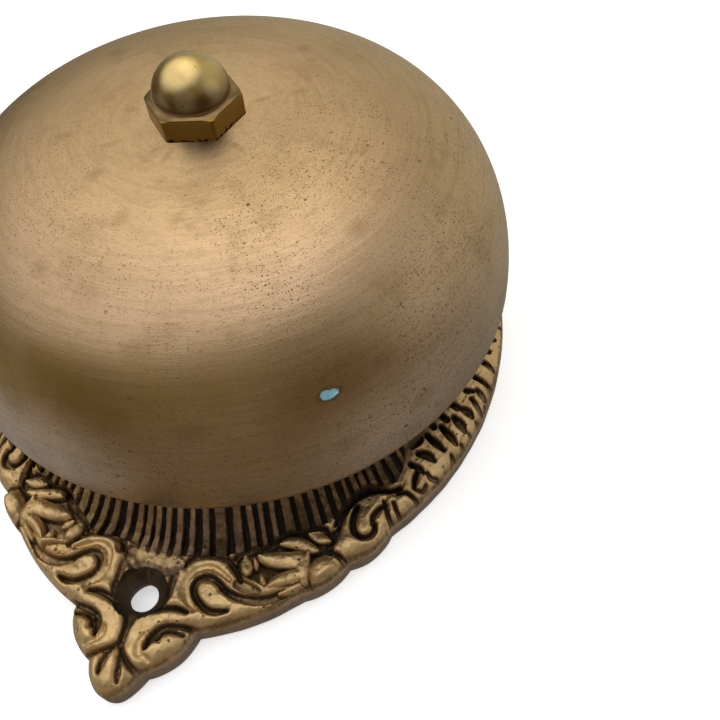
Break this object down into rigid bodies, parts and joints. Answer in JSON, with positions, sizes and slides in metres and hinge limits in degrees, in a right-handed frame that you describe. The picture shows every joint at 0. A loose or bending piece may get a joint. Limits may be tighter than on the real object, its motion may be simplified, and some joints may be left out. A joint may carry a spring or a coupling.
{
  "type": "mechanical twist doorbell",
  "caption": "Door-mounted twist doorbell: domed brass gong with acorn nut over a scrolled cast plate, wheel, pinion and revolving loose hammers inside.",
  "frame": {"origin": "centre of the back face, where the plate lies on the door, on the gong's axis", "axes": "+Z from the door through the gong to the acorn nut; +Y along the plate from one screw hole to the other; +X from the key arbor to the striker arbor"},
  "size_m": [0.1014, 0.1484, 0.0654],
  "materials": {
    "gong_brass": "satin aged",
    "cast_brass": "cast, dark patina in the hollows",
    "nut_brass": "polished, worn",
    "turned_brass": "machined",
    "steel": "oiled",
    "leather": "matt"
  },
  "bodies": {
    "frame": {"back_plate": "cast_brass", "key_bush": "turned_brass", "striker_bush_lower": "turned_brass", "striker_bush_upper": "turned_brass", "bridge": "turned_brass", "pillar_1": "turned_brass", "pillar_2": "turned_brass", "pillar_3": "turned_brass", "pillar_screw_1": "steel", "pillar_screw_2": "steel", "pillar_screw_3": "steel", "bridge_screw_1": "steel", "bridge_screw_2": "steel", "bridge_screw_3": "steel", "gong_post": "steel", "post_nut": "steel", "gong_washer": "leather", "gong": "gong_brass", "acorn_nut": "nut_brass"},
    "drive": {"drive_arbor": "steel", "thrust_washer": "steel", "main_wheel": "turned_brass", "arbor_clip": "steel"},
    "striker": {"striker_arbor": "steel", "striker_pinion": "turned_brass", "striker_cheek_lower": "turned_brass", "striker_cheek_upper": "turned_brass", "striker_spacer": "turned_brass", "hammer_pin_1": "steel", "hammer_pin_2": "steel"},
    "hammer_a": {"hammer_1": "turned_brass"},
    "hammer_b": {"hammer_2": "turned_brass"}
  },
  "joints": [
    {"name": "drive_spin", "type": "hinge", "parent": "frame", "child": "drive", "pos_m": [0, 0, 0], "axis": [0, 0, 1], "continuous": true},
    {"name": "striker_spin", "type": "hinge", "parent": "frame", "child": "striker", "pos_m": [0.0288, 0, 0], "axis": [0, 0, 1], "continuous": true},
    {"name": "hammer_a_swing", "type": "hinge", "parent": "striker", "child": "hammer_a", "pos_m": [0.0288, 0.011, 0], "axis": [0, 0, 1], "continuous": true},
    {"name": "hammer_b_swing", "type": "hinge", "parent": "striker", "child": "hammer_b", "pos_m": [0.0288, -0.011, 0], "axis": [0, 0, 1], "continuous": true}
  ],
  "couplings": [
    {"joint": "striker_spin", "follows": "drive_spin", "ratio": -5}
  ]
}
